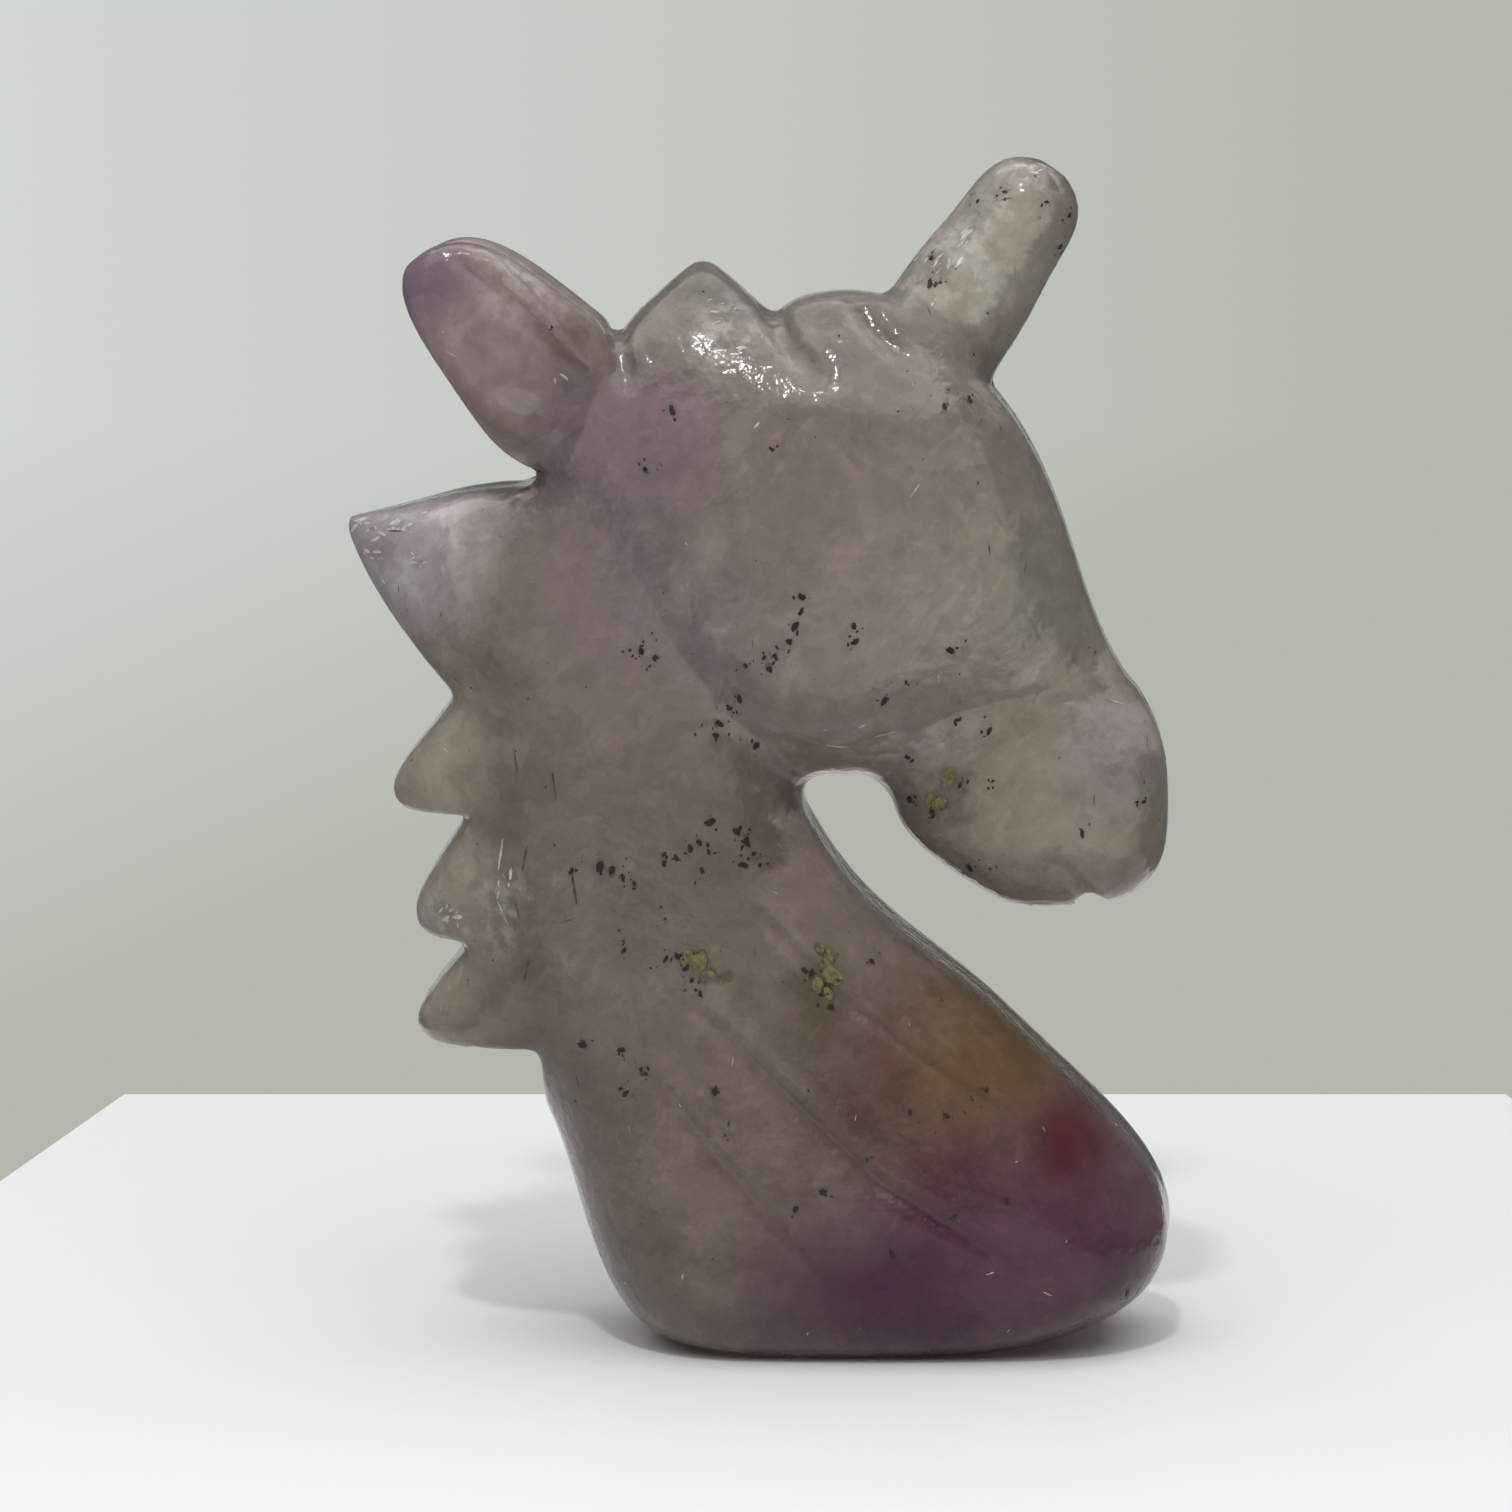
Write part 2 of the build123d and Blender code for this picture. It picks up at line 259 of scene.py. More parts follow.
neck_tree = search_tree(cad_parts["neck_and_base"].data)
places, normals = skin_places(), skin_normals()
on_neck = np.array([neck_tree.find_nearest(place, CROWN_ON_NECK)[0] is not None for place in places])
forward = np.clip(normals[:, 0] / FULLY_FORWARD, 0, 1) * on_neck
height = places[:, 2]
fade_foot = np.clip((height - CROWN_FOOT) / CROWN_FADE, 0, 1)
fade_top = np.clip((CROWN_TOP - height) / CROWN_FADE, 0, 1)
depth = CROWN_DEPTH * (places[:, 1] / CROWN_HALF_WIDTH) ** 2 * forward * (fade_foot * fade_top)
outward = normals * (1, 0, 1)
outward /= np.maximum(np.linalg.norm(outward, axis=1, keepdims=True), LEAST_LENGTH)
set_skin(places - outward * depth[:, None])
print("deepest crown in mm:", round(float(depth.max()) / MM, 2))

# %% [markdown]
# ## Cut lines
# The jaw, the muzzle, the hair of the neck, the tufts and the ear are drawn with shallow lines, as a thin
# wheel cuts them. Each line is a row of photo pixels. A ray from the camera finds where each pixel lands on
# the skin, and the skin sinks near that path. The ear's ridge has a negative depth, so it rises. A bump map
# could fake all this, but real geometry also shows in the silhouette. The far side, which the photograph
# hides, gets the mirrored line.

# %% Photo pixels on the skin
PATH_STEP = 4


def pixel_direction(x, y):
    """The direction in which the camera sees one pixel of the photograph."""
    across = Vector((x - PHOTO_PIXELS / 2, 0, 0))
    upwards = camera_up * (PHOTO_PIXELS / 2 - y)
    return (camera_forward * CAMERA_DISTANCE + (across + upwards) * PIXEL_AT_TARGET).normalized()


def land(tree, x, y):
    """The place and the outward direction of the skin under one photo pixel, or None beside it."""
    place, normal, _, _ = tree.ray_cast(camera.location, pixel_direction(x, y))
    return None if place is None else (place, normal)


def path_on_skin(pixels):
    """Closely spaced places on the skin under a line of photo pixels."""
    tree = search_tree(skin)
    places = []
    for (x0, y0), (x1, y1) in zip(pixels, pixels[1:]):
        steps = max(1, round(math.hypot(x1 - x0, y1 - y0) / PATH_STEP))
        for step in range(steps):
            share = step / steps
            found = land(tree, x0 + (x1 - x0) * share, y0 + (y1 - y0) * share)
            if found:
                places.append(found[0])
    return np.array(places)


middle = land(search_tree(skin), PHOTO_PIXELS / 2, PHOTO_PIXELS / 2)[0]
print("the middle of the photograph lands at, in mm:", [round(v / MM, 1) for v in middle])

# %% Lines of the carving
# Each row: photo pixels, half width and depth in millimetres
CUT_LINES = {
    "jaw": ([(720, 714), (770, 740), (850, 750)], 1.0, 0.12),
    "muzzle": ([(850, 750), (895, 735), (960, 712), (1040, 697), (1110, 699), (1150, 702)], 1.0, 0.22),
    "hair_high": ([(760, 915), (845, 1000), (970, 1085), (1050, 1132)], 0.8, 0.35),
    "hair_middle": ([(690, 1000), (780, 1090), (880, 1185), (1010, 1264)], 0.9, 0.62),
    "hair_low": ([(655, 1080), (710, 1150), (770, 1220), (845, 1306)], 0.8, 0.32),
    "ear_edge": ([(455, 256), (510, 300), (590, 380)], 0.9, 0.55),
    "ear_ridge": ([(484, 252), (520, 288), (566, 339), (600, 372)], 0.7, -0.45),
    "tuft_back": ([(610, 320), (618, 350), (628, 385)], 1.4, 0.6),
    "tuft_front": ([(768, 312), (790, 345), (820, 378)], 1.5, 0.7),
    "brow_front": ([(855, 300), (876, 328), (905, 362)], 1.5, 0.7),
    "mouth": ([(1083, 890), (1070, 872), (1050, 862)], 0.8, 0.40),
}


def cut(path, half_width, depth):
    """Sinks the skin along a path, deepest on the path and fading at both ends."""
    places = skin_places()
    near = (places > path.min(0) - half_width) & (places < path.max(0) + half_width)
    rows = np.flatnonzero(np.all(near, axis=1))
    gaps = np.linalg.norm(places[rows, None] - path[None], axis=2)
    share = np.clip(gaps.min(1) / half_width, 0, 1)
    fade = np.sqrt(np.sin(math.pi * (gaps.argmin(1) + 1) / (len(path) + 1)))
    places[rows] -= skin_normals()[rows] * (depth * fade * (1 - share**2) ** 2)[:, None]
    set_skin(places)


for name, (pixels, half_width, depth) in CUT_LINES.items():
    path = path_on_skin(pixels)
    for side in (1, -1):
        cut(path * (1, side, 1), half_width * MM, depth * MM)
    print("cut", name, "over", len(path), "places")
skin.shade_smooth()

# %% [markdown]
# ## Colour zones
# Amethyst takes its colour in zones, from where iron sat while the crystal grew. Here the chest is violet
# with a red and a honey patch, and the ear and top lock have a violet tint. Each zone is a soft, warped
# ellipsoid in the stone's own space, long enough to run right through from side to side, as a real zone
# does. One node group makes any of them.

# %% Zone node group
ZONE_OUTSIDE, ZONE_INSIDE = 1.25, 0.25


def new_node(tree, kind, **settings):
    """Adds a node, with its settings."""
    node = tree.nodes.new(kind)
    for name, value in settings.items():
        setattr(node, name, value)
    return node


def build_zone_group():
    """A shader group whose mask is 1 in the middle of a soft ellipsoid and 0 outside."""
    group = bpy.data.node_groups.new("Colour zone", "ShaderNodeTree")
    for name in ("Place", "Centre", "Reach"):
        group.interface.new_socket(name, in_out="INPUT", socket_type="NodeSocketVector")
    group.interface.new_socket("Mask", in_out="OUTPUT", socket_type="NodeSocketFloat")
    given = new_node(group, "NodeGroupInput")
    result = new_node(group, "NodeGroupOutput")
    offset = new_node(group, "ShaderNodeVectorMath", operation="SUBTRACT")
    shrunk = new_node(group, "ShaderNodeVectorMath", operation="DIVIDE")
    far = new_node(group, "ShaderNodeVectorMath", operation="LENGTH")
    soft = new_node(group, "ShaderNodeMapRange", interpolation_type="SMOOTHSTEP")
    soft.inputs["From Min"].default_value = ZONE_OUTSIDE
    soft.inputs["From Max"].default_value = ZONE_INSIDE
    join = group.links.new
    join(given.outputs["Place"], offset.inputs[0])
    join(given.outputs["Centre"], offset.inputs[1])
    join(offset.outputs[0], shrunk.inputs[0])
    join(given.outputs["Reach"], shrunk.inputs[1])
    join(shrunk.outputs[0], far.inputs[0])
    join(far.outputs["Value"], soft.inputs["Value"])
    join(soft.outputs["Result"], result.inputs["Mask"])
    return group


zone_group = build_zone_group()
print("group:", zone_group.name)

# %% Zones of this stone
ZONE_THROUGH = 30
# Each row: middle and reach along X and Z in millimetres, and the tint
ZONES = {
    "head": ((2.0, 60.0), (28, 20), (0.50, 0.425, 0.385)),
    "cheek_violet": ((-15.0, 60.0), (14, 15), (0.43, 0.345, 0.36)),
    "cheek_band_high": ((-8.0, 67.0), (1.6, 4), (0.52, 0.445, 0.42)),
    "cheek_band_middle": ((-10.3, 62.0), (1.6, 4), (0.52, 0.445, 0.42)),
    "cheek_band_low": ((-12.8, 57.0), (1.6, 4), (0.52, 0.445, 0.42)),
    "face_green": ((12.0, 58.0), (10, 11), (0.51, 0.475, 0.40)),
    "muzzle": ((17.0, 42.0), (10, 10), (0.52, 0.47, 0.375)),
    "nose_lavender": ((18.8, 45.5), (5, 6), (0.48, 0.425, 0.43)),
    "poll_violet": ((-16.6, 69.4), (8, 6), (0.45, 0.345, 0.395)),
    "horn": ((8.5, 82.0), (9, 10), (0.66, 0.61, 0.52)),
    "ear": ((-27.0, 77.0), (9, 9), (0.61, 0.50, 0.50)),
    "ear_violet": ((-31.5, 80.5), (4, 4), (0.44, 0.33, 0.42)),
    "forelock": ((-7.0, 79.0), (12, 5), (0.45, 0.41, 0.36)),
    "top_lock": ((-34.0, 60.5), (9, 9), (0.92, 0.80, 0.85)),
    "small_locks": ((-33.5, 38.0), (9, 19), (0.80, 0.71, 0.58)),
    "neck_low": ((-8.0, 16.0), (14, 12), (0.29, 0.23, 0.19)),
    "olive_stain": ((-2.6, 27.2), (4, 4), (0.17, 0.135, 0.09)),
    "chest_rose_high": ((2.3, 21.5), (6, 7), (0.20, 0.11, 0.10)),
    "chest_rose_low": ((7.5, 13.9), (7, 6), (0.20, 0.085, 0.075)),
    "chest_honey": ((11.0, 23.0), (10, 9), (0.28, 0.175, 0.085)),
    "base_violet": ((4.0, 6.0), (15, 9), (0.11, 0.014, 0.085)),
    "chest_violet": ((16.0, 9.0), (12, 11), (0.17, 0.068, 0.125)),
    "chest_red": ((16.2, 17.2), (4.5, 4.5), (0.17, 0.04, 0.05)),
}
# Pale places: partly pale breaks in the stone, partly painted glints where the lamp catches the lock tips,
# the horn, the tuft, the ear's ridge and the muzzle's fold
# Each row: middle and reach as above, and the strength
PEARLS_AND_GLINTS = {
    "top_lock_tip": ((-35.0, 60.0), (4.5, 5), 0.8),
    "top_lock_middle": ((-29.0, 61.0), (4, 3), 0.5),
    "middle_lock_tip": ((-31.0, 32.4), (2.2, 2.2), 1.0),
    "middle_lock_root": ((-26.5, 35.0), (3, 5), 0.6),
    "horn_streak": ((8.5, 82.3), (3, 5), 0.8),
    "horn_tip": ((13.5, 88.0), (2.5, 2), 0.8),
    "tuft": ((-9.5, 77.0), (3.5, 3.5), 0.7),
    "ear_ridge": ((-24.5, 80.0), (3, 3), 0.5),
    "muzzle_fold": ((3.0, 47.0), (7, 2), 0.4),
}


def zone_mask(tree, place, centre, reach):
    """How deep a place lies in one soft zone, from 0 to 1, with the zone's sizes in millimetres."""
    zone = new_node(tree, "ShaderNodeGroup", node_tree=zone_group)
    zone.inputs["Centre"].default_value = Vector((centre[0], 0, centre[1])) * MM
    zone.inputs["Reach"].default_value = Vector((reach[0], ZONE_THROUGH, reach[1])) * MM
    tree.links.new(place, zone.inputs["Place"])
    return zone.outputs["Mask"]


print("zones:", len(ZONES), "pearly places:", len(PEARLS_AND_GLINTS))

# %% [markdown]
# ## Clouds, crystals and feathers
# Seen close, the stone is mottled. There are soft clouds, angular patches where crystals grew together, and
# faint feathers, which are healed cracks that lie along a few directions. Each is a pattern in the stone's
# own space that makes the colour slightly paler or darker, so it needs no unwrapping and has no seam.

# %% Mixing nodes
MIX_FACTOR, MIX_BELOW, MIX_ABOVE, MIX_RESULT = 0, 6, 7, 2


def feed(tree, socket, value):
    """Gives a socket its value: another node's output, or a constant."""
    if isinstance(value, bpy.types.NodeSocket):
        tree.links.new(value, socket)
    else:
        socket.default_value = value


def mix_colours(tree, factor, below, above, blend="MIX"):
    """A mix of two colours, each a fixed colour or a socket."""
    mix = new_node(tree, "ShaderNodeMix", data_type="RGBA", blend_type=blend)
    for index, value in ((MIX_FACTOR, factor), (MIX_BELOW, below), (MIX_ABOVE, above)):
        feed(tree, mix.inputs[index], value)
    return mix.outputs[MIX_RESULT]


def times(tree, one, other):
    """The product of two values, each a number or a socket."""
    product = new_node(tree, "ShaderNodeMath", operation="MULTIPLY")
    feed(tree, product.inputs[0], one)
    feed(tree, product.inputs[1], other)
    return product.outputs[0]


def stretch(tree, value, low, high):
    """Stretches the part of a value between low and high over 0 to 1."""
    span = new_node(tree, "ShaderNodeMapRange")
    span.inputs["From Min"].default_value = low
    span.inputs["From Max"].default_value = high
    tree.links.new(value, span.inputs["Value"])
    return span.outputs["Result"]


def shaded(tree, colour, value, low, high):
    """A colour made darker or paler by a value, between two factors."""
    factor = mix_colours(tree, value, (low, low, low, 1), (high, high, high, 1))
    return mix_colours(tree, 1, colour, factor, "MULTIPLY")


print("colours mix through inputs", MIX_BELOW, "and", MIX_ABOVE)

# %% Patterns in the stone
# Each row: scale and detail of a noise, and the part of it that is stretched over 0 to 1
CLOUDS = {
    "tone": (70, 3, 0.3, 0.7),
    "pearl_and_glint": (800, 6, 0.47, 0.58),
    "fine": (420, 8, 0.3, 0.7),
    "feathered": (130, 2, 0.4, 0.6),
}
BEND_DETAIL = 4
FEATHER_LENGTH, FEATHER_FINENESS, FEATHER_DETAIL = 3, 800, 2
FEATHER_SPAN = (0.58, 0.66)


def noise_at(tree, place, scale, detail):
    """A noise over a place, as a node with a value from 0 to 1 and a colour."""
    noise = new_node(tree, "ShaderNodeTexNoise")
    noise.inputs["Scale"].default_value = scale
    noise.inputs["Detail"].default_value = detail
    tree.links.new(place, noise.inputs["Vector"])
    return noise


def clouds_at(tree, place, name):
    """One kind of cloud, from 0 to 1."""
    scale, detail, low, high = CLOUDS[name]
    return stretch(tree, noise_at(tree, place, scale, detail).outputs[0], low, high)


def bent_place(tree, place, scale, reach):
    """The stone's own space, bent by noise, so that edges in it wander."""
    wander = noise_at(tree, place, scale, BEND_DETAIL).outputs["Color"]
    return mix_colours(tree, reach * MM, place, wander, "LINEAR_LIGHT")


def patches_at(tree, place, scale):
    """A value that jumps at random from one angular patch to the next."""
    cells = new_node(tree, "ShaderNodeTexVoronoi")
    cells.inputs["Scale"].default_value = scale
    tree.links.new(place, cells.inputs["Vector"])
    return cells.outputs["Color"]


def feathers_at(tree, place, lean):
    """A noise drawn out along one leaning direction, from 0 to 1."""
    turned = new_node(tree, "ShaderNodeMapping", vector_type="TEXTURE")
    turned.inputs["Rotation"].default_value = (0, math.radians(-lean), 0)
    turned.inputs["Scale"].default_value = (FEATHER_LENGTH, 1, 1)
    tree.links.new(place, turned.inputs["Vector"])
    noise = noise_at(tree, turned.outputs["Vector"], FEATHER_FINENESS, FEATHER_DETAIL)
    return stretch(tree, noise.outputs[0], *FEATHER_SPAN)


print("kinds of cloud:", len(CLOUDS))

# %% Colour of the stone
STONE_PALE = (0.39, 0.33, 0.285, 1)
STONE_DUSKY = (0.285, 0.23, 0.195, 1)
# Pale colour of the pale breaks and of the painted glints
PEARL_AND_GLINT = (0.85, 0.82, 0.78, 1)
# Scale of the wandering, and how far it reaches in millimetres
ZONE_BEND = (110, 3)
PATCH_BEND = (500, 1.2)
# Darkest and palest factor
CLOUD_SHADES = (0.9, 1.1)
# Each row: scale, darkest and palest factor
PATCHES = {"large": (420, 0.91, 1.09), "small": (1100, 0.92, 1.08)}
# Each row: lean in degrees, and factor
FEATHERS = {"pale_steep": (60, 1.16), "pale_flat": (-5, 1.12), "dark_steep": (35, 0.9)}


def stone_colour(tree, place):
    """Two tones, the zones, the pale places with their painted glints, and the mottling over all."""
    colour = mix_colours(tree, clouds_at(tree, place, "tone"), STONE_DUSKY, STONE_PALE)
    bent = bent_place(tree, place, *ZONE_BEND)
    for centre, reach, tint in ZONES.values():
        colour = mix_colours(tree, zone_mask(tree, bent, centre, reach), colour, (*tint, 1))
    pearl_and_glint = clouds_at(tree, place, "pearl_and_glint")
    for centre, reach, strength in PEARLS_AND_GLINTS.values():
        mask = times(tree, zone_mask(tree, bent, centre, reach), pearl_and_glint)
        colour = mix_colours(tree, times(tree, mask, strength), colour, PEARL_AND_GLINT)
    colour = shaded(tree, colour, clouds_at(tree, place, "fine"), *CLOUD_SHADES)
    ragged = bent_place(tree, place, *PATCH_BEND)
    for scale, low, high in PATCHES.values():
        colour = shaded(tree, colour, patches_at(tree, ragged, scale), low, high)
    feathered = clouds_at(tree, place, "feathered")
    for lean, factor in FEATHERS.values():
        mask = times(tree, feathers_at(tree, place, lean), feathered)
        colour = shaded(tree, colour, mask, 1, factor)
    return colour


print("layers of mottling:", 1 + len(PATCHES) + len(FEATHERS))

# %% [markdown]
# ## The stone
# Light goes into quartz, is absorbed on its way and comes out behind, so thin parts such as the horn are
# pale and the neck is dark. Volume absorption does that from the true thickness. The haze is light scattered
# under the skin, mixed with a slightly rough transmission. Scattering in the whole volume would be truer but
# much slower. A thin clear coat gives the wet-looking polish, and two bumps its faint waves and pits.

# %% Stone material
# Each row: scale of a noise, and its height in millimetres
RELIEF = {"waves": (260, 0.07), "pits": (1100, 0.1)}
RELIEF_DETAIL = 2
STONE_SURFACE = {
    "Roughness": 0.15,
    "IOR": 1.54,
    "Transmission Weight": 0.68,
    "Subsurface Weight": 1,
    "Subsurface Radius": (1, 0.85, 0.8),
    "Subsurface Scale": 4 * MM,
    "Specular Tint": (0.15, 0.15, 0.15, 1),
    "Coat Weight": 0.25,
    "Coat Roughness": 0.04,
    "Coat IOR": 1.54,
}
ABSORB_COLOUR, ABSORB_DENSITY = (0.52, 0.42, 0.40, 1), 45


def new_material(name, inputs):
    """A material, its node tree and its surface, whose inputs are given by name."""
    material = bpy.data.materials.new(name)
    material.use_nodes = True
    surface = material.node_tree.nodes["Principled BSDF"]
    for key, value in inputs.items():
        surface.inputs[key].default_value = value
    return material, material.node_tree, surface


def polish_relief(tree, place):
    """The faint waves and pits of the polish, as a surface direction."""
    normal = None
    for scale, depth in RELIEF.values():
        bump = new_node(tree, "ShaderNodeBump")
        bump.inputs["Distance"].default_value = depth * MM
        tree.links.new(noise_at(tree, place, scale, RELIEF_DETAIL).outputs[0], bump.inputs["Height"])
        if normal:
            tree.links.new(normal, bump.inputs["Normal"])
        normal = bump.outputs["Normal"]
    return normal


def build_stone_material():
    """The cloudy quartz, with its colour, haze and polish."""
    material, tree, surface = new_material("Cloudy_amethyst", STONE_SURFACE)
    place = new_node(tree, "ShaderNodeTexCoord").outputs["Object"]
    normal = polish_relief(tree, place)
    join = tree.links.new
    join(stone_colour(tree, place), surface.inputs["Base Color"])
    join(normal, surface.inputs["Normal"])
    join(normal, surface.inputs["Coat Normal"])
    absorb = new_node(tree, "ShaderNodeVolumeAbsorption")
    absorb.inputs["Color"].default_value = ABSORB_COLOUR
    absorb.inputs["Density"].default_value = ABSORB_DENSITY
    join(absorb.outputs["Volume"], tree.nodes["Material Output"].inputs["Volume"])
    return material


skin.materials.clear()
skin.materials.append(build_stone_material())
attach(stone, "root")
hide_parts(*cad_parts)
print("nodes in the stone's material:", len(skin.materials[0].node_tree.nodes))

# %% [markdown]
# ## Flaws inside the stone
# Dark mineral grains, olive crusts, cracks and silvery flakes sit in the quartz, at its polish or just
# under it. They repeat by the hundred, so one Geometry Nodes tree makes them all: it puts a crumpled shard
# on each point, as large and as turned as the point's attributes say, and joins the lot. The clear ones lie
# where the photograph shows them, and loose ones are strewn over the whole skin, so that the stone is the
# same stone from behind.

# %% Shard tree
DENT_SCALE = 1.3
NOISE_MIDDLE = (0.5, 0.5, 0.5)
SHARD_INPUTS = {
    "Geometry": "Geometry",
    "Squeeze": "Vector",
    "Crumple": "Float",
    "Fineness": "Int",
    "Material": "Material",
}


def build_shard_tree():
    """A tree that puts a crumpled shard at each point, by the point's attributes."""
    tree = bpy.data.node_groups.new("Shards at points", "GeometryNodeTree")
    tree.interface.new_socket("Geometry", in_out="OUTPUT", socket_type="NodeSocketGeometry")
    for name, kind in SHARD_INPUTS.items():
        tree.interface.new_socket(name, in_out="INPUT", socket_type="NodeSocket" + kind)
    given = new_node(tree, "NodeGroupInput")
    result = new_node(tree, "NodeGroupOutput")
    ball = new_node(tree, "GeometryNodeMeshIcoSphere")
    dents = new_node(tree, "ShaderNodeTexNoise")
    dents.inputs["Scale"].default_value = DENT_SCALE
    centred = new_node(tree, "ShaderNodeVectorMath", operation="SUBTRACT")
    centred.inputs[1].default_value = NOISE_MIDDLE
    deep = new_node(tree, "ShaderNodeVectorMath", operation="SCALE")
    crumpled = new_node(tree, "GeometryNodeSetPosition")
    squeezed = new_node(tree, "GeometryNodeTransform")
    turn = new_node(tree, "GeometryNodeInputNamedAttribute", data_type="FLOAT_VECTOR")
    turn.inputs["Name"].default_value = "shard_turn"
    size = new_node(tree, "GeometryNodeInputNamedAttribute", data_type="FLOAT")
    size.inputs["Name"].default_value = "shard_size"
    put = new_node(tree, "GeometryNodeInstanceOnPoints")
    real = new_node(tree, "GeometryNodeRealizeInstances")
    dressed = new_node(tree, "GeometryNodeSetMaterial")
    join = tree.links.new
    join(given.outputs["Fineness"], ball.inputs["Subdivisions"])
    join(dents.outputs["Color"], centred.inputs[0])
    join(centred.outputs[0], deep.inputs[0])
    join(given.outputs["Crumple"], deep.inputs["Scale"])
    join(ball.outputs["Mesh"], crumpled.inputs["Geometry"])
    join(deep.outputs[0], crumpled.inputs["Offset"])
    join(crumpled.outputs[0], squeezed.inputs["Geometry"])
    join(given.outputs["Squeeze"], squeezed.inputs["Scale"])
    join(given.outputs["Geometry"], put.inputs["Points"])
    join(squeezed.outputs[0], put.inputs["Instance"])
    join(turn.outputs["Attribute"], put.inputs["Rotation"])
    join(size.outputs["Attribute"], put.inputs["Scale"])
    join(put.outputs[0], real.inputs[0])
    join(real.outputs[0], dressed.inputs["Geometry"])
    join(given.outputs["Material"], dressed.inputs["Material"])
    join(dressed.outputs[0], result.inputs[0])
    return tree


shard_tree = build_shard_tree()
print("tree:", shard_tree.name)

# %% Places and turns of shards
RANDOM_SEED = 11
stone_tree = search_tree(skin)
draw = random.Random(RANDOM_SEED)


def strewn(count):
    """Places on the skin and its outward directions there, drawn at random."""
    places, normals = skin_places(), skin_normals()
    return [(places[row], normals[row]) for row in draw.sample(range(len(places)), count)]


def any_turn():
    """A turn drawn at random."""
    return tuple(draw.uniform(0, math.tau) for _ in range(3))


def lying_turn(normal, along):
    """The turn that lays a shard flat in the skin, with its length along a direction."""
    across = normal.cross(along).normalized()
    return tuple(Matrix((across.cross(normal), across, normal)).transposed().to_euler())


print("loose shards are drawn from", len(skin.vertices), "points")

# %% Shards into the stone
POLISH_PROUD = 0.02 * MM
SHARD_FINENESS = 2
FLAW_DETAIL = 3
FLAW_SPAN = (0.35, 0.65)


def grind_flush(mesh):
    """Draws what sticks out of the stone back to a hair above its skin, inside the CAD model's box."""
    for vert in mesh.vertices:
        place, normal, _, _ = stone_tree.find_nearest(vert.co)
        if (vert.co - place).dot(normal) > POLISH_PROUD:
            vert.co = place + normal * POLISH_PROUD
        vert.co = np.clip(vert.co, cad_low, cad_high)


def add_shards(name, shards, material, squeeze, crumple):
    """Makes one piece of shards, each a place, a size and a turn, and fixes it to the stone's body."""
    places, sizes, turns = zip(*shards)
    mesh = bpy.data.meshes.new(name)
    mesh.from_pydata(places, [], [])
    mesh.attributes.new("shard_size", "FLOAT", "POINT").data.foreach_set("value", sizes)
    mesh.attributes.new("shard_turn", "FLOAT_VECTOR", "POINT").data.foreach_set("vector", np.ravel(turns))
    piece = bpy.data.objects.new(name, mesh)
    bpy.context.collection.objects.link(piece)
    modifier = piece.modifiers.new("Shards", "NODES")
    modifier.node_group = shard_tree
    given = {"Squeeze": squeeze, "Crumple": crumple, "Fineness": SHARD_FINENESS, "Material": material}
    for item in shard_tree.interface.items_tree:
        if item.in_out == "INPUT" and item.name in given:
            modifier[item.identifier] = given[item.name]
    solid = bpy.data.meshes.new_from_object(piece.evaluated_get(bpy.context.evaluated_depsgraph_get()))
    piece.modifiers.clear()
    piece.data = solid
    grind_flush(solid)
    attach(piece, "root")
    print(name, "shards:", len(shards), "faces:", len(solid.polygons))


def new_flaw_material(name, dark, pale, roughness, scale):
    """A mineral whose colour wanders between two tones."""
    material, tree, surface = new_material(name, {"Roughness": roughness})
    place = new_node(tree, "ShaderNodeTexCoord").outputs["Object"]
    tone = stretch(tree, noise_at(tree, place, scale, FLAW_DETAIL).outputs[0], *FLAW_SPAN)
    tree.links.new(mix_colours(tree, tone, (*dark, 1), (*pale, 1)), surface.inputs["Base Color"])
    return material


print("shards stand proud of the polish by at most, in mm:", POLISH_PROUD / MM)

# %% [markdown]
# ### Dark grains
# The grains look like a dark iron mineral. The clearest ones form a short chain on the cheek and a cluster
# across the neck. Each photo pixel here gets one large grain, and smaller ones scattered close by.

# %% Dark grains
GRAIN_PIXELS = {
    "cheek_chain": [
        (802, 598), (801, 612), (795, 627), (789, 642), (774, 656), (764, 658), (769, 668), (746, 666),
    ],
    "cheek_loose": [
        (854, 626), (856, 642), (952, 651), (906, 682), (884, 702), (772, 450), (645, 470), (672, 411),
    ],
    "jaw": [
        (630, 650), (641, 652), (655, 657), (650, 666), (718, 723), (716, 736), (756, 745), (730, 708),
        (739, 698),
    ],
    "neck_cluster": [
        (710, 822), (746, 840), (744, 865), (754, 854), (760, 866), (709, 853), (702, 870), (690, 848),
        (676, 858), (738, 832), (742, 848), (699, 842), (664, 862),
    ],
    "neck_left": [
        (612, 872), (623, 878), (634, 884), (600, 866), (623, 941), (624, 951), (665, 919), (572, 870),
    ],
    "olive_left": [(666, 959), (677, 957), (692, 980), (700, 994), (686, 968)],
    "olive_right": [(805, 971), (812, 974), (822, 995), (830, 1007), (826, 985)],
    "neck_low": [(622, 1050), (642, 1075), (625, 1094), (582, 1045), (725, 1135), (714, 1092), (648, 1068)],
    "chest": [
        (910, 1113), (946, 1116), (987, 1091), (972, 1100), (867, 1160), (795, 1210), (955, 1216),
        (822, 1192), (1007, 1202), (1127, 1293), (892, 1254), (872, 962),
    ],
    "muzzle": [
        (958, 720), (989, 731), (906, 757), (993, 781), (932, 810), (910, 799), (990, 869), (969, 868),
        (1082, 834), (1144, 802), (960, 786),
    ],
    "horn": [
        (930, 284), (936, 284), (1005, 192), (977, 202), (1047, 202), (1070, 215), (1060, 247), (932, 257),
        (970, 400), (945, 407),
    ],
}
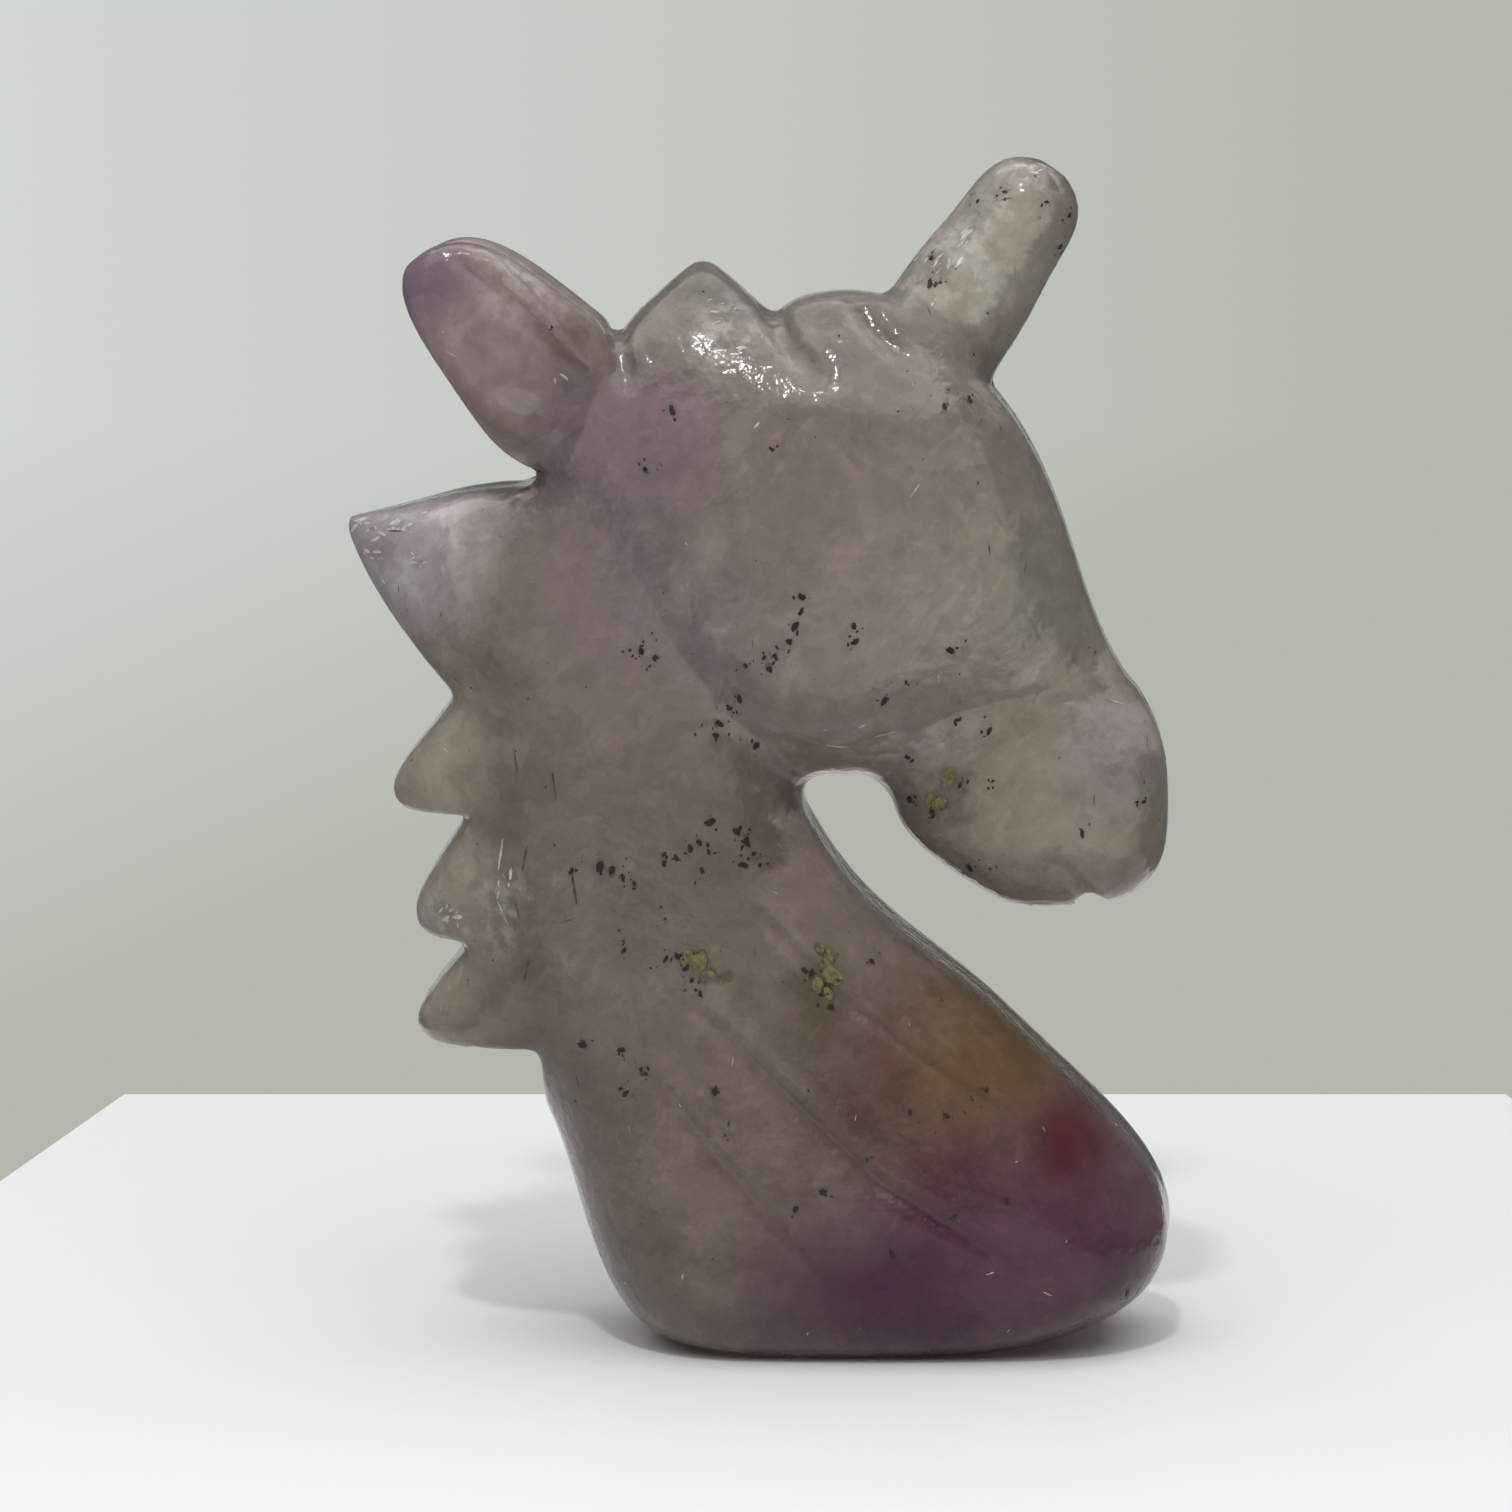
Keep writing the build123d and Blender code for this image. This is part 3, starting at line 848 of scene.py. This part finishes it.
GRAIN_SIZES = (0.32, 0.16, 0.12, 0.1)
GRAIN_SPREAD = 6
GRAIN_SIZE_RANGE, GRAIN_SUNK = (0.6, 1.5), (0.05, 0.3)
LOOSE_GRAINS = 260
LOOSE_GRAIN_SIZES, LOOSE_GRAIN_SUNK = (0.04, 0.17), (0.05, 0.4)

grains = []
for x, y in (pixel for pixels in GRAIN_PIXELS.values() for pixel in pixels):
    for order, largest in enumerate(GRAIN_SIZES):
        spread = GRAIN_SPREAD if order else 0
        found = land(stone_tree, draw.gauss(x, spread), draw.gauss(y, spread))
        if found:
            size = largest * draw.uniform(*GRAIN_SIZE_RANGE) * MM
            grains.append((found[0] - found[1] * size * draw.uniform(*GRAIN_SUNK), size, any_turn()))
for place, normal in strewn(LOOSE_GRAINS):
    size = draw.uniform(*LOOSE_GRAIN_SIZES) * MM
    sunk = Vector(place - normal * size * draw.uniform(*LOOSE_GRAIN_SUNK))
    grains.append((sunk, size, any_turn()))
grain_material = new_flaw_material(
    "Dark_grain", dark=(0.002, 0.0015, 0.001), pale=(0.012, 0.008, 0.005), roughness=0.7, scale=3000
)
add_shards("Dark_grains", grains, grain_material, squeeze=(1.0, 0.7, 0.5), crumple=1.6)

# %% [markdown]
# ### Olive crusts
# Two yellowish-green patches on the neck and one on the jaw look like crusts along old cracks: flat flakes
# that overlap.

# %% Olive crusts
CRUST_PIXELS = {
    "left": [(690, 958), (700, 962), (712, 975), (722, 978), (704, 980), (728, 976), (684, 962)],
    "right": [(822, 950), (830, 955), (826, 966), (832, 975), (818, 985), (828, 992)],
    "jaw": [(955, 782), (962, 790), (948, 778), (938, 804), (930, 800)],
}
CRUST_SUNK, CRUST_SIZES = (0.02, 0.1), (0.5, 1.0)

crusts = []
for x, y in (pixel for pixels in CRUST_PIXELS.values() for pixel in pixels):
    found = land(stone_tree, x, y)
    if found:
        flat = lying_turn(found[1], Vector((draw.uniform(-1, 1), 0, draw.uniform(-1, 1))))
        place = found[0] - found[1] * draw.uniform(*CRUST_SUNK) * MM
        crusts.append((place, draw.uniform(*CRUST_SIZES) * MM, flat))
crust_material = new_flaw_material(
    "Olive_crust", dark=(0.07, 0.052, 0.014), pale=(0.17, 0.135, 0.05), roughness=0.6, scale=2500
)
add_shards("Olive_crusts", crusts, crust_material, squeeze=(1.0, 0.7, 0.12), crumple=0.9)

# %% [markdown]
# ### Cracks and painted highlights
# Short straight cracks show as pale strokes, and others, filled with dirt, are dark. Some of the clear pale
# strokes are painted highlights, where the ear, the jaw and the muzzle's groove catch the lamp. They are the
# same shards, drawn out thin. The clear ones are laid into the skin between two photo pixels, and loose ones
# lie at random under the whole skin.

# %% Cracks
# Pale strokes: some are cracks, some are painted highlights on the ear, the jaw and the muzzle's groove
PALE_CRACKS_AND_HIGHLIGHTS = [
    ((446, 351), (456, 357)), ((815, 744), (850, 747)), ((1104, 699), (1124, 704)),
    ((872, 738), (896, 731)), ((503, 838), (498, 872)), ((497, 900), (508, 925)), ((443, 747), (449, 753)),
]
DARK_CRACKS = [
    ((514, 752), (518, 776)), ((527, 846), (522, 872)), ((515, 900), (519, 918)), ((529, 960), (524, 982)),
    ((552, 770), (556, 800)), ((571, 870), (577, 905)), ((990, 202), (1014, 198)), ((998, 191), (1012, 190)),
    ((920, 284), (938, 285)), ((1046, 197), (1051, 207)), ((1067, 182), (1072, 187)),
    ((1067, 220), (1071, 212)), ((960, 398), (973, 402)), ((384, 531), (404, 531)), ((925, 300), (931, 316)),
    ((978, 208), (980, 216)),
]
# Each row: clear ones, count of loose ones, dark and pale tone, roughness
CRACK_KINDS = {
    # The pale kind: partly cracks, partly painted highlights
    "Pale_cracks_and_highlights": (PALE_CRACKS_AND_HIGHLIGHTS, 150, (0.22, 0.19, 0.17), (0.50, 0.46, 0.42), 0.3),
    "Dark_cracks": (DARK_CRACKS, 240, (0.02, 0.015, 0.012), (0.09, 0.07, 0.055), 0.5),
}
LOOSE_CRACK_SUNK, LOOSE_CRACK_SIZES = 0.02, (0.15, 0.7)
CRACK_TONE_SCALE = 1500

for name, (lines, loose, dark, pale, roughness) in CRACK_KINDS.items():
    cracks = []
    for ends in lines:
        found = [land(stone_tree, *pixel) for pixel in ends]
        if all(found):
            (a, normal), (b, _) = found
            cracks.append(((a + b) / 2, (b - a).length / 2, lying_turn(normal, b - a)))
    for place, normal in strewn(loose):
        sunk = Vector(place - normal * LOOSE_CRACK_SUNK * MM)
        cracks.append((sunk, draw.uniform(*LOOSE_CRACK_SIZES) * MM, any_turn()))
    material = new_flaw_material(name, dark, pale, roughness, CRACK_TONE_SCALE)
    add_shards(name, cracks, material, squeeze=(1.0, 0.08, 0.08), crumple=0.6)

# %% [markdown]
# ### Silvery flakes and painted glints
# Old breaks inside the stone lie flat to its skin in places: at the tips of two locks, along the horn, in
# the tuft. Their pale colour is partly the breaks' own and partly painted glints, where the lamp sparkles on
# the tuft, the horn, the middle lock and the ear's root. Each patch is a crowd of thin flakes around one
# photo pixel, on both sides of the stone. A row gives that pixel, the spread across and down, the count, the
# size and the lean.

# %% Silvery flakes
# The tuft, horn, middle lock and ear's root patches sit where the lamp sparkles: their flakes are partly
# painted glints
FLAKE_AND_GLINT_PATCHES = {
    "top_lock_point": (368, 524, 6, 6, 9, 0.45, 5),
    "top_lock_upper": (398, 526, 16, 6, 14, 0.5, 5),
    "top_lock_left": (380, 556, 7, 16, 14, 0.45, 5),
    "top_lock_inner": (412, 560, 16, 10, 8, 0.35, 5),
    "middle_lock": (446, 914, 6, 5, 12, 0.5, 45),
    "middle_lock_root": (502, 886, 5, 16, 9, 0.4, 80),
    "tuft_high": (719, 316, 7, 6, 9, 0.35, 20),
    "tuft_low": (733, 350, 8, 3, 7, 0.35, 10),
    "tuft_side": (760, 424, 3, 2, 2, 0.3, 30),
    "horn_streak_low": (936, 266, 6, 7, 9, 0.5, 50),
    "horn_streak_high": (962, 240, 6, 8, 10, 0.5, 50),
    "horn_tip": (1035, 168, 10, 3, 9, 0.4, 0),
    "ear_root": (553, 380, 6, 3, 4, 0.35, -45),
}
FLAKE_STRAY = 18
FLAKE_SIZE_RANGE, FLAKE_SUNK = (0.5, 1.2), (0, 0.04)

flakes = []
for x, y, spread_x, spread_y, count, size, lean in FLAKE_AND_GLINT_PATCHES.values():
    for _ in range(count):
        found = land(stone_tree, draw.gauss(x, spread_x), draw.gauss(y, spread_y))
        if not found:
            continue
        angle = math.radians(draw.gauss(lean, FLAKE_STRAY))
        along = Vector((math.cos(angle), 0, math.sin(angle)))
        flake_size = size * draw.uniform(*FLAKE_SIZE_RANGE) * MM
        for side in (1, -1):
            mirror = Vector((1, side, 1))
            place = (found[0] - found[1] * draw.uniform(*FLAKE_SUNK) * MM) * mirror
            flakes.append((place, flake_size, lying_turn(found[1] * mirror, along)))
# Pale flake colour: partly the breaks' own, partly painted glints
flake_and_glint_material = new_flaw_material(
    "Flake_and_painted_glint", dark=(0.24, 0.22, 0.21), pale=(0.58, 0.56, 0.53), roughness=0.25, scale=1600
)
add_shards("Flakes_and_painted_glints", flakes, flake_and_glint_material, squeeze=(1.0, 0.3, 0.1), crumple=0.9)

# %% [markdown]
# ## The table
# The stone stands on a white table whose far edge and left corner show. It is an ordinary white surface, so
# it keeps the shadow.

# %% Table
TABLE_CORNERS = ((-67, 93), (64, 93), (140, -500), (-160, -500))
TABLE_THICKNESS = 18
TABLE_WHITE, TABLE_ROUGHNESS = (0.81, 0.81, 0.82, 1), 0.45


def new_stage_piece(name, points, faces, material):
    """One piece of the setting, from points in millimetres."""
    mesh = bpy.data.meshes.new(name)
    mesh.from_pydata([Vector(point) * MM for point in points], [], faces)
    mesh.materials.append(material)
    piece = bpy.data.objects.new(name, mesh)
    bpy.context.collection.objects.link(piece)
    piece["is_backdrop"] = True
    print(name, "faces:", len(mesh.polygons))


table_look = {"Base Color": TABLE_WHITE, "Roughness": TABLE_ROUGHNESS}
table_material = new_material("White_table", table_look)[0]
top = [(x, y, 0) for x, y in TABLE_CORNERS]
bottom = [(x, y, -TABLE_THICKNESS) for x, y in TABLE_CORNERS]
count = len(TABLE_CORNERS)
sides = [(i, i + count, (i + 1) % count + count, (i + 1) % count) for i in range(count)]
new_stage_piece("Table", top + bottom, [(3, 2, 1, 0), (4, 5, 6, 7)] + sides, table_material)

# %% [markdown]
# ## The wall
# Behind the table is a pale grey-green wall. Its light is painted: to the camera and to light that the stone
# mirrors or lets through, it glows with a set colour, brighter at the upper left and dimmer to the right and
# downwards, so the stone shows it. It ends just outside the picture at the left, the right and the top. The
# room beyond is dimmer, and that darkens the stone's edges, which bend light from the side.

# %% Wall
WALL_DISTANCE = 600
WALL_LEFT, WALL_RIGHT = -200, 165
WALL_FOOT, WALL_TOP = -1300, 130
WALL_PAINT = (0.52, 0.55, 0.50, 1)
# Painted light on the wall: brightest at the upper left, dimmer to the right and downwards
WALL_BRIGHT, WALL_DIM = (0.640, 0.676, 0.648, 1), (0.462, 0.474, 0.418, 1)
WALL_DIMS = {"X": (-160, 130), "Z": (30, -100)}
WALL_SHOWN_TO = ("Is Camera Ray", "Is Glossy Ray", "Is Transmission Ray")


def painted_wall_light(tree):
    """The wall's painted light, which dims to the right and downwards."""
    place = new_node(tree, "ShaderNodeTexCoord").outputs["Object"]
    parts = new_node(tree, "ShaderNodeSeparateXYZ")
    tree.links.new(place, parts.inputs[0])
    dim = new_node(tree, "ShaderNodeMath", operation="ADD", use_clamp=True)
    for socket, (axis, (start, end)) in zip(dim.inputs, WALL_DIMS.items()):
        tree.links.new(stretch(tree, parts.outputs[axis], start * MM, end * MM), socket)
    return mix_colours(tree, dim.outputs[0], WALL_BRIGHT, WALL_DIM)


def build_wall_material():
    """A wall that glows with painted light for the rays that show it, and is dull paint to other light."""
    material, tree, paint = new_material("Pale_wall", {"Base Color": WALL_PAINT})
    plain = new_node(tree, "ShaderNodeEmission")
    tree.links.new(painted_wall_light(tree), plain.inputs["Color"])
    ray = new_node(tree, "ShaderNodeLightPath")
    shown = ray.outputs[WALL_SHOWN_TO[0]]
    for kind in WALL_SHOWN_TO[1:]:
        either = new_node(tree, "ShaderNodeMath", operation="MAXIMUM")
        tree.links.new(shown, either.inputs[0])
        tree.links.new(ray.outputs[kind], either.inputs[1])
        shown = either.outputs[0]
    choice = new_node(tree, "ShaderNodeMixShader")
    tree.links.new(shown, choice.inputs["Fac"])
    tree.links.new(paint.outputs[0], choice.inputs[1])
    tree.links.new(plain.outputs[0], choice.inputs[2])
    tree.links.new(choice.outputs[0], tree.nodes["Material Output"].inputs["Surface"])
    return material


corners = [(x, WALL_DISTANCE, z) for x in (WALL_LEFT, WALL_RIGHT) for z in (WALL_FOOT, WALL_TOP)]
new_stage_piece("Wall", corners, [(0, 2, 3, 1)], build_wall_material())

# %% [markdown]
# ## Light
# The photograph has soft room light and a firmer light, taken to be one lamp high in front, slightly to the
# left, which throws the shadow back. A very large area lamp under the ceiling and a small one give both, and
# a weak even world stands for the rest of the room.

# %% Lamps
# Each row: place, aim and width in millimetres, and power in watts
LAMPS = {
    "Ceiling": ((-30, -200, 900), (0, 0, 0), 1500, 13.5),
    "Front": ((-75, -400, 645), (0, 0, 35), 45, 1.5),
}
ROOM_COLOUR, ROOM_STRENGTH = (0.62, 0.64, 0.62, 1), 0.25

for name, (place, aim, size, watts) in LAMPS.items():
    data = bpy.data.lights.new(name, "AREA")
    data.size = size * MM
    data.energy = watts
    lamp = bpy.data.objects.new(name, data)
    lamp.location = Vector(place) * MM
    lamp.rotation_euler = (Vector(aim) - Vector(place)).to_track_quat("-Z", "Y").to_euler()
    bpy.context.collection.objects.link(lamp)
world = bpy.data.worlds.new("Room")
world.use_nodes = True
room = world.node_tree.nodes["Background"]
room.inputs["Color"].default_value = ROOM_COLOUR
room.inputs["Strength"].default_value = ROOM_STRENGTH
bpy.context.scene.world = world
print("lamps:", len(LAMPS))
